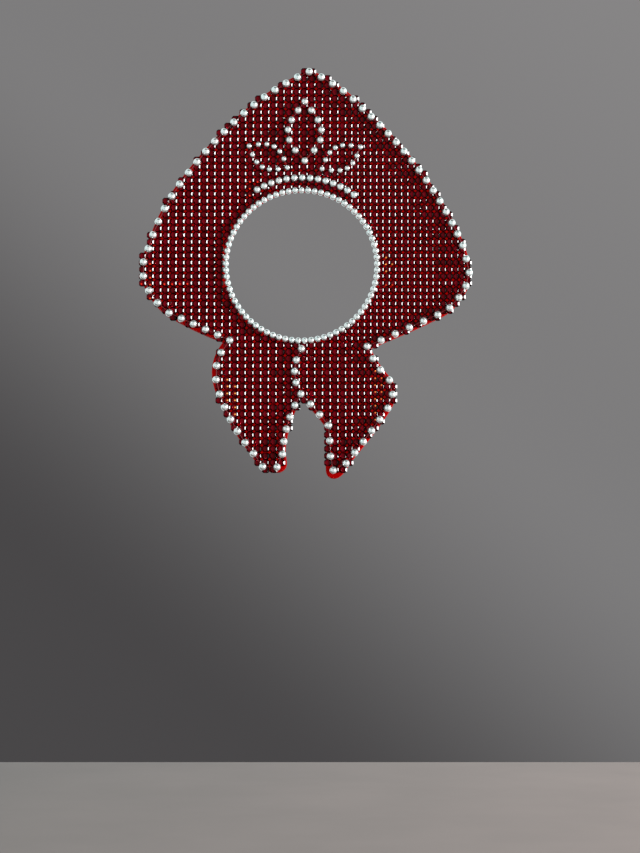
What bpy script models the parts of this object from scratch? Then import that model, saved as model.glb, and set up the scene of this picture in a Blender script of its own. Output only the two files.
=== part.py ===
"""Kokoshnik headdress: a doll's pearl-edged crest with two kerchief ends.

Metres, +Z up. The front faces -Y, and +X is the viewer's right. The origin is the
centre of the round face opening, on the plane of the flat back.
"""

import math

import bmesh
import bpy
from mathutils import Matrix, Vector

# Pearl line, measured from the centre of the face opening
CROWN_RISE = 0.0752        # up to the peak pearl
TAIL_DROP = 0.0788         # down to the lowest pearl of the kerchief ends
WING_SPAN = 0.0646         # out to the pearl at the tip of the right-hand lobe

# Plates
OPENING_RADIUS = 0.0279    # round hole that the wearer's face shows through
BOARD_THICKNESS = 0.0025   # felt-covered board
BOARD_MARGIN = 0.0011      # board beyond the pearl line
SHEET_THICKNESS = 0.0015   # sheet of set stones
SHEET_OVERHANG = 0.0004    # sheet's edge beyond the board's edge, as its whole stones stick out
SHEET_HOLE_MARGIN = 0.0003  # sheet's hole beyond the board's hole
SEAM_X = 0.0170            # where the two stone sheets meet
SEAT_GAP = 0.0003          # clearance between pieces that lie on each other

# Flat-backed half-round pearls on their threads
BORDER_PEARL = 0.0030
RING_PEARL = 0.0025
CROWN_PEARL = 0.0028
LEAF_PEARL = 0.0021
THREAD_DIAMETER = 0.00025
THREAD_LIFT = 0.0002       # middle of the thread above the pearls' flat backs
PEARL_SIDES = 10           # round the rim; an even number
PEARL_SHOULDER = 45        # degrees from a pearl's pole down to its middle ring

# Band of pearls over the face ring, and the crown of a drop between two leaves
ARC_CLEARANCE = 0.00215    # bare strip between the ring's pearls and the band's
ARC_START = -30.3          # degrees from straight up, clockwise
ARC_END = 36.4
ARC_PEARL_GAP = 0.00023
CROWN_AXIS_X = 0.0012      # the crown stands a little right of the face's centre
DROP_CLEARANCE = 0.0038    # from the band's pearls to the drop's lowest pearl
DROP_HEADROOM = 0.0116     # from the drop's top pearl to the peak pearl
DROP_HALF_WIDTH = 0.0065
DROP_GATHER = 1.06         # power of the way down: above 1, pearls gather towards the tip
DROP_SAG = 1.145           # power of the way down: above 1, the widest place sinks
LEAF_CLEARANCE = 0.00185   # from the band's pearls to a leaf's lowest pearl
LEAF_SPREAD = 0.0067       # leaf's lower tip from the crown's axis
LEAF_LENGTH = 0.0170
LEAF_LEAN = 29.7           # degrees up from level
LEAF_HALF_WIDTH = 0.0046
LOOP_PEARLS_A_SIDE = 5     # between the two tips of a drop or leaf

# Strand down the parting of the kerchief
PARTING_PITCH = 0.0044
PARTING_BOW = 0.15         # sideways bow, as a share of its length

# The pearl line, clockwise from the peak. Each row is one stretch and ends at a pearl:
# name, end's x as a share of WING_SPAN, end's height as a share of CROWN_RISE above the
# centre or of TAIL_DROP below it, outward bow as a share of the stretch, pearl steps.
PEARL_LINE = (
    ("crest_right", 0.362, 0.809, 0.056, 5),
    ("shoulder_right", 0.699, 0.490, 0.025, 7),
    ("side_right", 0.958, 0.102, 0.029, 7),
    ("lobe_tip_right", 0.996, -0.036, 0.010, 2),
    ("lobe_corner_right", 0.934, -0.158, 0.075, 2),
    ("lobe_under_right", 0.808, -0.242, 0.076, 2),
    ("notch_right", 0.388, -0.397, 0.000, 5),
    ("tail_flare_right", 0.520, -0.562, -0.050, 3),
    ("tail_corner_right", 0.510, -0.698, 0.140, 2),
    ("tail_outside_right", 0.263, -0.966, 0.010, 5),
    ("tail_foot_right", 0.188, -1.000, 0.100, 1),
    ("tail_heel_right", 0.172, -0.932, 0.100, 1),
    ("tail_inside_right", 0.160, -0.782, -0.010, 2),
    ("parting", -0.004, -0.629, -0.015, 3),
    ("tail_inside_left", -0.114, -0.922, -0.060, 5),
    ("tail_heel_left", -0.145, -0.984, 0.080, 1),
    ("tail_foot_left", -0.229, -0.982, 0.120, 1),
    ("tail_toe_left", -0.283, -0.918, 0.030, 1),
    ("tail_outside_left", -0.484, -0.630, 0.045, 5),
    ("notch_left", -0.426, -0.367, 0.148, 4),
    ("lobe_under_left", -0.786, -0.233, 0.000, 5),
    ("lobe_corner_left", -0.940, -0.053, 0.092, 3),
    ("lobe_tip_left", -0.911, 0.085, 0.087, 2),
    ("side_left", -0.673, 0.477, 0.050, 6),
    ("shoulder_left", -0.344, 0.785, 0.024, 6),
    ("peak", 0.046, 1.000, 0.037, 6),
)
OUTLINE_TOLERANCE = 0.00015  # how far a plate's edge may cut a round stretch
OPENING_SIDES = 48

BOARD_FRONT = -BOARD_THICKNESS
SHEET_BACK = BOARD_FRONT - SEAT_GAP
SHEET_FRONT = SHEET_BACK - SHEET_THICKNESS
PEARL_BACK = SHEET_FRONT - SEAT_GAP
UPRIGHT = Matrix.Rotation(math.radians(90), 4, "X")  # from lying on XY to facing -Y
WELD = 0.000001
CUTTER_DEPTH = 4 * abs(PEARL_BACK)
CUTTER_SPAN = 3 * (CROWN_RISE + TAIL_DROP)

# Colour, roughness and metallic share
FELT = ((0.40, 0.004, 0.006, 1.0), 0.85, 0.0)
STONES = ((0.12, 0.002, 0.008, 1.0), 0.15, 0.4)
PEARLS = ((0.82, 0.85, 0.84, 1.0), 0.12, 0.0)


def clear_scene():
    for old in list(bpy.data.objects):
        bpy.data.objects.remove(old)


def add_collection(name):
    collection = bpy.data.collections.new(name)
    bpy.context.scene.collection.children.link(collection)
    return collection


def make_material(name, look):
    colour, roughness, metallic = look
    material = bpy.data.materials.new(name)
    material.use_nodes = True
    shader = material.node_tree.nodes["Principled BSDF"]
    shader.inputs["Base Color"].default_value = colour
    shader.inputs["Roughness"].default_value = roughness
    shader.inputs["Metallic"].default_value = metallic
    return material


def add_object(name, data, collection):
    item = bpy.data.objects.new(name, data)
    collection.objects.link(item)
    return item


def line_point(x_share, z_share):
    """Place of a row of the pearl line in the plane of the front."""
    rise = CROWN_RISE if z_share > 0 else TAIL_DROP
    return Vector((x_share * WING_SPAN, z_share * rise))


def bowed(start, end, bow, share):
    """Point on a stretch that bows to the left of its way by a parabola."""
    chord = end - start
    outward = Vector((-chord.y, chord.x))
    return start + chord * share + outward * (4 * bow * share * (1 - share))


def stretches():
    """Each stretch of the pearl line as its start, end, bow and pearl steps."""
    start = line_point(PEARL_LINE[-1][1], PEARL_LINE[-1][2])
    for _name, x_share, z_share, bow, steps in PEARL_LINE:
        end = line_point(x_share, z_share)
        yield start, end, bow, steps
        start = end


def border_places():
    places = []
    for start, end, bow, steps in stretches():
        places += [bowed(start, end, bow, step / steps) for step in range(steps)]
    return places


def plate_line():
    """The pearl line with as few points as the tolerance allows."""
    points = []
    for start, end, bow, _steps in stretches():
        height = abs(bow) * (end - start).length
        steps = max(1, math.ceil(math.sqrt(height / OUTLINE_TOLERANCE)))
        points += [bowed(start, end, bow, step / steps) for step in range(steps)]
    return points


def offset_loop(points, distance):
    """The closed line moved outward, with mitred corners."""
    moved = []
    for index, point in enumerate(points):
        before = (point - points[index - 1]).normalized()
        after = (points[(index + 1) % len(points)] - point).normalized()
        normal_before = Vector((-before.y, before.x))
        normal_after = Vector((-after.y, after.x))
        corner = (normal_before + normal_after).normalized()
        moved.append(point + corner * (distance / corner.dot(normal_after)))
    return moved


def curve_mesh(name, curve, matrix):
    """The mesh of a curve laid by the matrix, with its caps welded on."""
    drawn = add_object(name, curve, bpy.context.scene.collection)
    view = bpy.context.evaluated_depsgraph_get()
    mesh = bpy.data.meshes.new_from_object(drawn.evaluated_get(view))
    shape = bmesh.new()
    shape.from_mesh(mesh)
    bmesh.ops.transform(shape, matrix=matrix, verts=shape.verts)
    bmesh.ops.remove_doubles(shape, verts=shape.verts, dist=WELD)
    bmesh.ops.recalc_face_normals(shape, faces=shape.faces)
    shape.to_mesh(mesh)
    shape.free()
    bpy.data.objects.remove(drawn)
    return mesh


def add_points(curve, points, closed):
    spline = curve.splines.new("POLY")
    spline.points.add(len(points) - 1)
    for target, point in zip(spline.points, points):
        target.co = (point.x, point.y, 0.0, 1.0)
    spline.use_cyclic_u = closed


def slab(name, loop, back, front, collection):
    """A flat plate between two depths, from its outline."""
    curve = bpy.data.curves.new(name + "_outline", "CURVE")
    curve.dimensions = "2D"
    curve.fill_mode = "BOTH"
    curve.extrude = (back - front) / 2
    add_points(curve, loop, True)
    middle = Matrix.Translation((0.0, (back + front) / 2, 0.0))
    mesh = curve_mesh(name, curve, middle @ UPRIGHT)
    return add_object(name, mesh, collection)


def hide_cutter(cutter):
    cutter.hide_render = True
    cutter.display_type = "WIRE"
    return cutter


def round_cutter(name, radius, cutters):
    """A cylinder along Y, longer than every plate is thick."""
    mesh = bpy.data.meshes.new(name)
    shape = bmesh.new()
    bmesh.ops.create_cone(shape, cap_ends=True, segments=OPENING_SIDES, radius1=radius,
                          radius2=radius, depth=CUTTER_DEPTH, matrix=UPRIGHT)
    shape.to_mesh(mesh)
    shape.free()
    return hide_cutter(add_object(name, mesh, cutters))


def side_cutter(name, near_x, side, cutters):
    """A block that takes away all of a sheet on one side of its seam."""
    middle = Vector((near_x + side * CUTTER_SPAN / 2, 0.0, 0.0))
    scale = Matrix.Diagonal((CUTTER_SPAN, CUTTER_DEPTH, CUTTER_SPAN, 1.0))
    mesh = bpy.data.meshes.new(name)
    shape = bmesh.new()
    bmesh.ops.create_cube(shape, size=1.0, matrix=Matrix.Translation(middle) @ scale)
    shape.to_mesh(mesh)
    shape.free()
    return hide_cutter(add_object(name, mesh, cutters))


def boolean(item, other, operation):
    change = item.modifiers.new(other.name, "BOOLEAN")
    change.operation = operation
    change.solver = "EXACT"
    change.object = other


def make_board(parts, cutters):
    edge = offset_loop(plate_line(), BOARD_MARGIN)
    board = slab("base_plate", edge, 0.0, BOARD_FRONT, parts)
    hole = round_cutter("face_opening_cutter", OPENING_RADIUS, cutters)
    boolean(board, hole, "DIFFERENCE")
    board.data.materials.append(make_material("red_felt", FELT))


def make_sheets(parts, cutters):
    edge = offset_loop(plate_line(), BOARD_MARGIN + SHEET_OVERHANG)
    hole = round_cutter("sheet_hole_cutter", OPENING_RADIUS + SHEET_HOLE_MARGIN, cutters)
    for name, side in (("stone_sheet_left", 1), ("stone_sheet_right", -1)):
        sheet = slab(name, edge, SHEET_BACK, SHEET_FRONT, parts)
        seam = SEAM_X - side * SEAT_GAP / 2
        beyond = side_cutter(name + "_cutter", seam, side, cutters)
        boolean(sheet, hole, "DIFFERENCE")
        boolean(sheet, beyond, "DIFFERENCE")
        sheet.data.materials.append(make_material(name, STONES))


def ring_of_points(shape, count, polar_degrees, first_degrees):
    """Points on the unit ball at one angle down from its pole."""
    polar = math.radians(polar_degrees)
    points = []
    for index in range(count):
        turn = math.radians(first_degrees + index * 360 / count)
        points.append(shape.verts.new((math.sin(polar) * math.cos(turn),
                                       math.sin(polar) * math.sin(turn), math.cos(polar))))
    return points


def half_pearl():
    """A unit half ball on its flat back, with its dome towards +Z: a loft of three rings.

    Half as many points stand half way up as round the rim, each over the middle of
    every second side, so that triangles and four-cornered facets take turns.
    """
    mesh = bpy.data.meshes.new("half_pearl")
    shape = bmesh.new()
    pole = shape.verts.new((0.0, 0.0, 1.0))
    half_side = 180 / PEARL_SIDES
    rim = ring_of_points(shape, PEARL_SIDES, 90, -half_side)
    middle = ring_of_points(shape, PEARL_SIDES // 2, PEARL_SHOULDER, 0)
    for index, point in enumerate(middle):
        following = middle[(index + 1) % len(middle)]
        near, far = rim[2 * index], rim[2 * index + 1]
        beyond = rim[(2 * index + 2) % PEARL_SIDES]
        shape.faces.new((pole, point, following))
        shape.faces.new((point, near, far))
        shape.faces.new((point, far, beyond, following))
    shape.faces.new(rim)
    bmesh.ops.recalc_face_normals(shape, faces=shape.faces)
    shape.to_mesh(mesh)
    shape.free()
    return mesh


def pearl_directions(places, closed):
    """The way of the thread at each pearl."""
    count = len(places)
    ways = []
    for index in range(count):
        before = places[index - 1] if closed or index > 0 else places[index]
        after = places[(index + 1) % count] if closed or index < count - 1 else places[index]
        ways.append((after - before).normalized())
    return ways


def pearl_shapes(name, places, diameter, closed, pearl, cutters):
    """All pearls of a string in one mesh, each turned to the way of the thread."""
    mesh = bpy.data.meshes.new(name)
    shape = bmesh.new()
    size = Matrix.Scale(diameter / 2, 4)
    for place, way in zip(places, pearl_directions(places, closed)):
        turn = Matrix.Rotation(math.atan2(way.y, way.x), 4, "Z")
        stand = Matrix.Translation((place.x, PEARL_BACK, place.y))
        known = len(shape.verts)
        shape.from_mesh(pearl)
        shape.verts.ensure_lookup_table()
        added = shape.verts[known:]
        bmesh.ops.transform(shape, matrix=stand @ UPRIGHT @ turn @ size, verts=added)
    shape.to_mesh(mesh)
    shape.free()
    return hide_cutter(add_object(name, mesh, cutters))


def thread(name, places, closed, parts):
    """A thin round thread from pearl to pearl, a little above their backs."""
    curve = bpy.data.curves.new(name + "_thread", "CURVE")
    curve.dimensions = "3D"
    curve.bevel_depth = THREAD_DIAMETER / 2
    curve.bevel_resolution = 0
    curve.use_fill_caps = True
    add_points(curve, places, closed)
    lifted = Matrix.Translation((0.0, PEARL_BACK - THREAD_LIFT, 0.0))
    return add_object(name, curve_mesh(name, curve, lifted @ UPRIGHT), parts)


def pearl_string(name, places, diameter, closed, pearl, parts, cutters):
    """Pearls fused on their thread."""
    string = thread(name, places, closed, parts)
    beads = pearl_shapes(name + "_pearls", places, diameter, closed, pearl, cutters)
    boolean(string, beads, "UNION")
    string.data.materials.append(make_material(name, PEARLS))


def ring_radius():
    """The ring's pearls stand with their inner side over the opening's edge."""
    return OPENING_RADIUS + RING_PEARL / 2


def ring_places():
    """As many pearls as fit round the opening side by side."""
    radius = ring_radius()
    count = round(math.pi / math.asin(RING_PEARL / (2 * radius)))
    turn = 2 * math.pi / count
    return [Vector((math.sin(turn * index), math.cos(turn * index))) * radius
            for index in range(count)]


def arc_radius():
    return ring_radius() + RING_PEARL / 2 + ARC_CLEARANCE + CROWN_PEARL / 2


def arc_places():
    radius = arc_radius()
    sweep = math.radians(ARC_END - ARC_START)
    steps = round(sweep * radius / (CROWN_PEARL + ARC_PEARL_GAP))
    angles = [math.radians(ARC_START) + sweep * step / steps for step in range(steps + 1)]
    return [Vector((math.sin(angle), math.cos(angle))) * radius for angle in angles]


def loop_places(tip, base, half_width, gather=1.0, sag=1.0):
    """Closed loop from tip to base and back, as wide as a half sine wave of the way."""
    axis = base - tip
    across = Vector((-axis.y, axis.x)).normalized() * half_width
    steps = LOOP_PEARLS_A_SIDE + 1
    shares = [step / steps for step in range(steps + 1)]
    middle = [tip + axis * share ** gather for share in shares]
    side = [across * math.sin(math.pi * share ** sag) for share in shares]
    there = [middle[step] + side[step] for step in range(steps)]
    back = [middle[step] - side[step] for step in range(steps, 0, -1)]
    return there + back


def drop_places():
    base_z = arc_radius() + CROWN_PEARL + DROP_CLEARANCE
    base = Vector((CROWN_AXIS_X, base_z))
    tip = Vector((CROWN_AXIS_X, CROWN_RISE - DROP_HEADROOM))
    return loop_places(tip, base, DROP_HALF_WIDTH, DROP_GATHER, DROP_SAG)


def side_leaf_places(side):
    """A leaf that leans outward from its lower tip, on the left, -1, or the right, 1."""
    base_radius = arc_radius() + (CROWN_PEARL + LEAF_PEARL) / 2 + LEAF_CLEARANCE
    base_x = CROWN_AXIS_X + side * LEAF_SPREAD
    base = Vector((base_x, math.sqrt(base_radius ** 2 - base_x ** 2)))
    lean = math.radians(LEAF_LEAN)
    tip = base + Vector((side * math.cos(lean), math.sin(lean))) * LEAF_LENGTH
    return loop_places(tip, base, LEAF_HALF_WIDTH)


def parting_places():
    """From under the ring towards the border's pearl at the top of the parting."""
    top_z = -(ring_radius() + RING_PEARL / 2 + SEAT_GAP + BORDER_PEARL / 2)
    names = [row[0] for row in PEARL_LINE]
    row = PEARL_LINE[names.index("parting")]
    start = Vector((0.0, top_z))
    end = line_point(row[1], row[2])
    steps = max(2, round((end - start).length / PARTING_PITCH))
    return [bowed(start, end, -PARTING_BOW, step / steps) for step in range(steps)]


def build():
    clear_scene()
    parts = add_collection("kokoshnik_headdress")
    cutters = add_collection("cutters")
    pearl = half_pearl()
    make_board(parts, cutters)
    make_sheets(parts, cutters)
    strings = (
        ("pearl_border", border_places(), BORDER_PEARL, True),
        ("face_ring", ring_places(), RING_PEARL, True),
        ("crown_arc", arc_places(), CROWN_PEARL, False),
        ("crown_drop", drop_places(), CROWN_PEARL, True),
        ("crown_leaf_left", side_leaf_places(-1), LEAF_PEARL, True),
        ("crown_leaf_right", side_leaf_places(1), LEAF_PEARL, True),
        ("parting_strand", parting_places(), BORDER_PEARL, False),
    )
    for name, places, diameter, closed in strings:
        pearl_string(name, places, diameter, closed, pearl, parts, cutters)


build()
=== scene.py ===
# Kokoshnik headdress: felt board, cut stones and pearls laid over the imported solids.
# Metres, +Z up. The front faces -Y and the origin is the centre of the round opening.
import math

import bpy
import bmesh
import mathutils
import numpy as np
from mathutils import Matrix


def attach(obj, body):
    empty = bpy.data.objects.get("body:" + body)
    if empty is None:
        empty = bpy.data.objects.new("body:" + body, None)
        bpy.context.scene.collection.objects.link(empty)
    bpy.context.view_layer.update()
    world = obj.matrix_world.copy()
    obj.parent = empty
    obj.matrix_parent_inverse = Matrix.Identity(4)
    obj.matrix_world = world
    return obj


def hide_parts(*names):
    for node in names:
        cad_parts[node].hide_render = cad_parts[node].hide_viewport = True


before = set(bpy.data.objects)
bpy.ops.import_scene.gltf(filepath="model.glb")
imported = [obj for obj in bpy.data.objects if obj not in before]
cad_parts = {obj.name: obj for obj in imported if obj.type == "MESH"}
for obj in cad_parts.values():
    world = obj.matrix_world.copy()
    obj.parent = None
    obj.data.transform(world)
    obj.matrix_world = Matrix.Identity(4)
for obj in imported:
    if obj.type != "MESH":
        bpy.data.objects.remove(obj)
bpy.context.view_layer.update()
print("frame loaded:", len(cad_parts), "solids")

millimetre = 0.001

# Camera: a long lens below the headdress, tilted up a little

camera = {
    "place": (0.00711, -0.7586, -0.1046),
    "tiltUp": 3.23,          # degrees
    "focalPixels": 1975.0,
    "longSide": 853.0,       # pixels
    "sensor": 36.0,          # millimetres
    "clip": (0.01, 50.0),    # metres
}


def makeCamera(settings):
    # The focal length in pixels of the long side, turned into millimetres of the sensor
    lens = bpy.data.cameras.new("portraitCamera")
    lens.sensor_width = settings["sensor"]
    lens.lens = settings["focalPixels"] / settings["longSide"] * settings["sensor"]
    lens.clip_start, lens.clip_end = settings["clip"]
    holder = bpy.data.objects.new("portraitCamera", lens)
    holder.location = settings["place"]
    holder.rotation_euler = (math.radians(90 + settings["tiltUp"]), 0, 0)
    bpy.context.scene.collection.objects.link(holder)
    bpy.context.scene.camera = holder


makeCamera(camera)

# Plan of the headdress. All but feltReach has the same sizes as the solids

plan = {
    "crownRise": 0.0752,
    "tailDrop": 0.0788,
    "wingSpan": 0.0646,
    "openingRadius": 0.0279,
    "openingEase": 0.0009,     # felt, bed and stones drawn back under the ring's pearls
    "boardMargin": 0.0011,     # board beyond the pearl line
    # where the felt reaches farther out: x, z, how much farther and over what distance
    "feltReach": (
        (0.0127, -0.0800, 0.0021, 0.0042), (-0.0068, -0.0775, 0.0020, 0.0034),
        (0.0440, -0.0250, 0.0005, 0.0160), (0.0290, -0.0620, 0.0004, 0.0140),
        (-0.0335, -0.0400, 0.0004, 0.0100), (-0.0400, -0.0265, 0.0010, 0.0130),
    ),
    "bedInset": 0.0001,        # stone bed inside the board's edge
    "stoneReach": 0.0012,      # farthest that a whole stone's middle lies past the pearl line
    "seam": 0.0170,            # x where the two stone sheets meet
    "boardFront": -0.0025,
    "bedBack": -0.0028,
    "stoneFront": -0.0043,
    "pearlBack": -0.0046,
    "lineStep": 0.0005,
    "cornerPoints": 9,         # points of the arc round each corner of a grown line
    "tolerance": 2e-7,
    # clockwise from the peak: end's x share, end's height share, outward bow, pearl steps
    "stretches": (
        (0.362, 0.809, 0.056, 5), (0.699, 0.490, 0.025, 7), (0.958, 0.102, 0.029, 7),
        (0.996, -0.036, 0.010, 2), (0.934, -0.158, 0.075, 2), (0.808, -0.242, 0.076, 2),
        (0.388, -0.397, 0.000, 5), (0.520, -0.562, -0.050, 3), (0.510, -0.698, 0.140, 2),
        (0.263, -0.966, 0.010, 5), (0.188, -1.000, 0.100, 1), (0.172, -0.932, 0.100, 1),
        (0.160, -0.782, -0.010, 2), (-0.004, -0.629, -0.015, 3), (-0.114, -0.922, -0.060, 5),
        (-0.145, -0.984, 0.080, 1), (-0.229, -0.982, 0.120, 1), (-0.283, -0.918, 0.030, 1),
        (-0.484, -0.630, 0.045, 5), (-0.426, -0.367, 0.148, 4), (-0.786, -0.233, 0.000, 5),
        (-0.940, -0.053, 0.092, 3), (-0.911, 0.085, 0.087, 2), (-0.673, 0.477, 0.050, 6),
        (-0.344, 0.785, 0.024, 6), (0.046, 1.000, 0.037, 6),
    ),
    "partingRow": 13,          # the stretch that ends at the top of the parting
}


def sharePoint(xShare, zShare):
    # x as a share of the farthest wing, z as a share of the rise or the drop
    rise = plan["crownRise"] if zShare > 0 else plan["tailDrop"]
    return np.array((xShare * plan["wingSpan"], zShare * rise))


def bowed(start, end, bow, count):
    # start + chord*t + left of chord*4*bow*t*(1-t), at t = 0, 1/count, 2/count and so on below 1
    chord = end - start
    left = np.array((-chord[1], chord[0]))
    t = np.arange(count)[:, None] / count
    return start + chord * t + left * (4 * bow * t * (1 - t))


def walkPlan(countFor):
    # The closed pearl line, stretch by stretch; countFor(steps, length) gives each one's points
    ends = [sharePoint(row[0], row[1]) for row in plan["stretches"]]
    parts = []
    for index, (bow, steps) in enumerate(row[2:] for row in plan["stretches"]):
        start, end = ends[index - 1], ends[index]
        length = float(np.hypot(*(end - start)))
        parts.append(bowed(start, end, bow, countFor(steps, length)))
    return np.concatenate(parts)


pearlLine = walkPlan(lambda steps, length: max(2, math.ceil(length / plan["lineStep"])))


def lineDistance(points, line):
    # Least distance to a closed line: to the foot of the perpendicular, held within each segment
    along = np.roll(line, -1, axis=0) - line
    offset = points[:, None, :] - line[None, :, :]
    foot = (offset * along).sum(-1) / (along ** 2).sum(-1)
    gap = offset - np.clip(foot, 0, 1)[..., None] * along
    return np.sqrt((gap ** 2).sum(-1)).min(axis=1)


def insideLine(points, line):
    # Odd number of crossings of the level line to the right of the point
    ahead = np.roll(line, -1, axis=0)
    x, z = points[:, :1], points[:, 1:]
    spans = (line[:, 1] > z) != (ahead[:, 1] > z)
    rise = ahead[:, 1] - line[:, 1]
    rise = np.where(rise == 0, 1e-12, rise)
    crossing = line[:, 0] + (z - line[:, 1]) * (ahead[:, 0] - line[:, 0]) / rise
    return (spans & (x < crossing)).sum(axis=1) % 2 == 1


def evenSteps(line, step):
    # The closed line walked again in even steps
    closed = np.vstack((line, line[:1]))
    length = np.concatenate(([0], np.cumsum(np.hypot(*np.diff(closed, axis=0).T))))
    count = max(8, round(length[-1] / step))
    at = np.arange(count) * length[-1] / count
    return np.stack([np.interp(at, length, closed[:, axis]) for axis in (0, 1)], axis=1)


def leftNormals(line):
    # The way from the point behind to the point ahead, turned a quarter to the left
    chord = np.roll(line, -1, axis=0) - np.roll(line, 1, axis=0)
    left = np.stack((-chord[:, 1], chord[:, 0]), axis=1)
    return left / np.hypot(left[:, 0], left[:, 1])[:, None]


def grownLine(line, distance, step):
    # Each corner swept by an arc from one side's outward normal to the next side's, then
    # all that comes nearer to the line than the distance dropped
    chord = np.roll(line, -1, axis=0) - line
    after = np.arctan2(chord[:, 0], -chord[:, 1])
    before = np.roll(after, 1)
    turn = (after - before + math.pi) % (2 * math.pi) - math.pi
    share = np.linspace(0, 1, plan["cornerPoints"])
    angle = before[:, None] + turn[:, None] * share
    swept = line[:, None, :] + distance * np.stack((np.cos(angle), np.sin(angle)), axis=-1)
    swept = swept.reshape(-1, 2)
    clear = lineDistance(swept, line) > distance - plan["tolerance"]
    return evenSteps(swept[clear], step)


def reachOut(edge):
    # Carried outwards by reach * exp(-(distance / width)^2) round each place of "feltReach"
    extra = 0
    for x, z, reach, width in plan["feltReach"]:
        extra = extra + reach * np.exp(-((edge - (x, z)) ** 2).sum(-1) / width ** 2)
    return evenSteps(edge + leftNormals(edge) * extra[:, None], plan["lineStep"])


boardEdge = reachOut(grownLine(pearlLine, plan["boardMargin"], plan["lineStep"]))
bedEdge = reachOut(grownLine(pearlLine, plan["boardMargin"] - plan["bedInset"],
                             plan["lineStep"]))
print("plan:", len(boardEdge), "points round the board")

# Meshes

net = {
    "rowShare": 0.866,         # between the rows of a staggered grid, in pitches
    "clearShare": 0.6,         # least distance from the grid to the edges, in pitches
    "meet": 1e-7,
    "weld": 2e-6,
    "roundingSteps": 5,
    "sharpAngle": 50,          # degrees
}


def makePiece(name, points, faceGroups, smooth):
    # Each array in faceGroups holds faces of one number of corners, a row a face
    mesh = bpy.data.meshes.new(name)
    corners = np.concatenate([group.ravel() for group in faceGroups]).astype(np.int32)
    sizes = np.concatenate([np.full(len(group), group.shape[1]) for group in faceGroups])
    mesh.vertices.add(len(points))
    mesh.vertices.foreach_set("co", np.asarray(points, np.float32).ravel())
    mesh.loops.add(len(corners))
    mesh.loops.foreach_set("vertex_index", corners)
    mesh.polygons.add(len(sizes))
    mesh.polygons.foreach_set("loop_start", (np.cumsum(sizes) - sizes).astype(np.int32))
    mesh.update(calc_edges=True)
    mesh.validate()
    mesh.polygons.foreach_set("use_smooth", np.full(len(mesh.polygons), smooth))
    piece = bpy.data.objects.new(name, mesh)
    bpy.context.scene.collection.objects.link(piece)
    return piece


def weld(piece, distance):
    # Joins points that meet and turns all faces outwards
    shape = bmesh.new()
    shape.from_mesh(piece.data)
    bmesh.ops.remove_doubles(shape, verts=shape.verts, dist=distance)
    bmesh.ops.recalc_face_normals(shape, faces=shape.faces)
    shape.to_mesh(piece.data)
    shape.free()


def copies(points, faceGroups, turns, places):
    # Every point of the shape turned by each 3x3 matrix and carried to each place
    laid = np.einsum("nij,pj->npi", turns, points) + places[:, None, :]
    step = np.arange(len(places))[:, None, None] * len(points)
    groups = [(group[None] + step).reshape(-1, group.shape[1]) for group in faceGroups]
    return laid.reshape(-1, 3), groups


def storeValues(piece, name, kind, domain, values):
    # An attribute of the mesh, for a shader to read
    attribute = piece.data.attributes.new(name, kind, domain)
    field = "vector" if kind == "FLOAT_VECTOR" else "value"
    attribute.data.foreach_set(field, np.asarray(values, np.float32).ravel())


def grid(rows, columns, first=0):
    # Quads between neighbours on a grid of rows that each run round a closed loop
    row = np.arange(rows - 1)[:, None] * columns
    column = np.arange(columns)[None, :]
    ahead = (column + 1) % columns
    quads = np.stack((row + column, row + ahead, row + columns + ahead,
                      row + columns + column), axis=-1)
    return quads.reshape(-1, 4) + first


def circle(radius, count):
    # Places at even angles, clockwise from the top
    angle = np.arange(count) * 2 * math.pi / count
    return radius * np.stack((np.sin(angle), np.cos(angle)), axis=1)


def edgeBand(loop, outward, back, front, rounding):
    # A rounded edge carried along the loop: in the front face, then over a quarter circle,
    # across the thickness, over a second quarter circle and in the back face
    bend = np.linspace(0, math.pi / 2, net["roundingSteps"])
    inset = rounding * (1 - np.sin(bend))
    sink = rounding * (1 - np.cos(bend))
    inset = np.concatenate((inset, inset[::-1]))
    depth = np.concatenate((front + sink, back - sink[::-1]))
    flat = loop[None] - outward[None] * inset[:, None, None]
    points = np.empty((len(inset), len(loop), 3))
    points[..., 0] = flat[..., 0]
    points[..., 1] = depth[:, None]
    points[..., 2] = flat[..., 1]
    return points


def flatNet(outer, inner, pitch):
    # Triangles between two loops, over the loops' points and a staggered grid inside them
    low, high = outer.min(axis=0), outer.max(axis=0)
    columns = np.arange(low[0], high[0], pitch)
    rows = np.arange(low[1], high[1], pitch * net["rowShare"])
    x, z = np.meshgrid(columns, rows)
    x = x + (np.arange(len(rows)) % 2)[:, None] * pitch / 2
    gridPoints = np.stack((x.ravel(), z.ravel()), axis=1)
    clear = insideLine(gridPoints, outer) & ~insideLine(gridPoints, inner)
    gridPoints = gridPoints[clear]
    clear = lineDistance(gridPoints, outer) > net["clearShare"] * pitch
    clear &= lineDistance(gridPoints, inner) > net["clearShare"] * pitch
    points = np.vstack((outer, inner, gridPoints[clear]))
    edges = []
    for first, count in ((0, len(outer)), (len(outer), len(inner))):
        ring = first + np.arange(count)
        edges += np.stack((ring, np.roll(ring, -1)), axis=1).tolist()
    made = mathutils.geometry.delaunay_2d_cdt(points.tolist(), edges, [], 0, net["meet"])
    points = np.array([tuple(point) for point in made[0]])
    triangles = np.array(made[2])
    middle = points[triangles].mean(axis=1)
    keep = insideLine(middle, outer) & ~insideLine(middle, inner)
    return points, triangles[keep]


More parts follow.
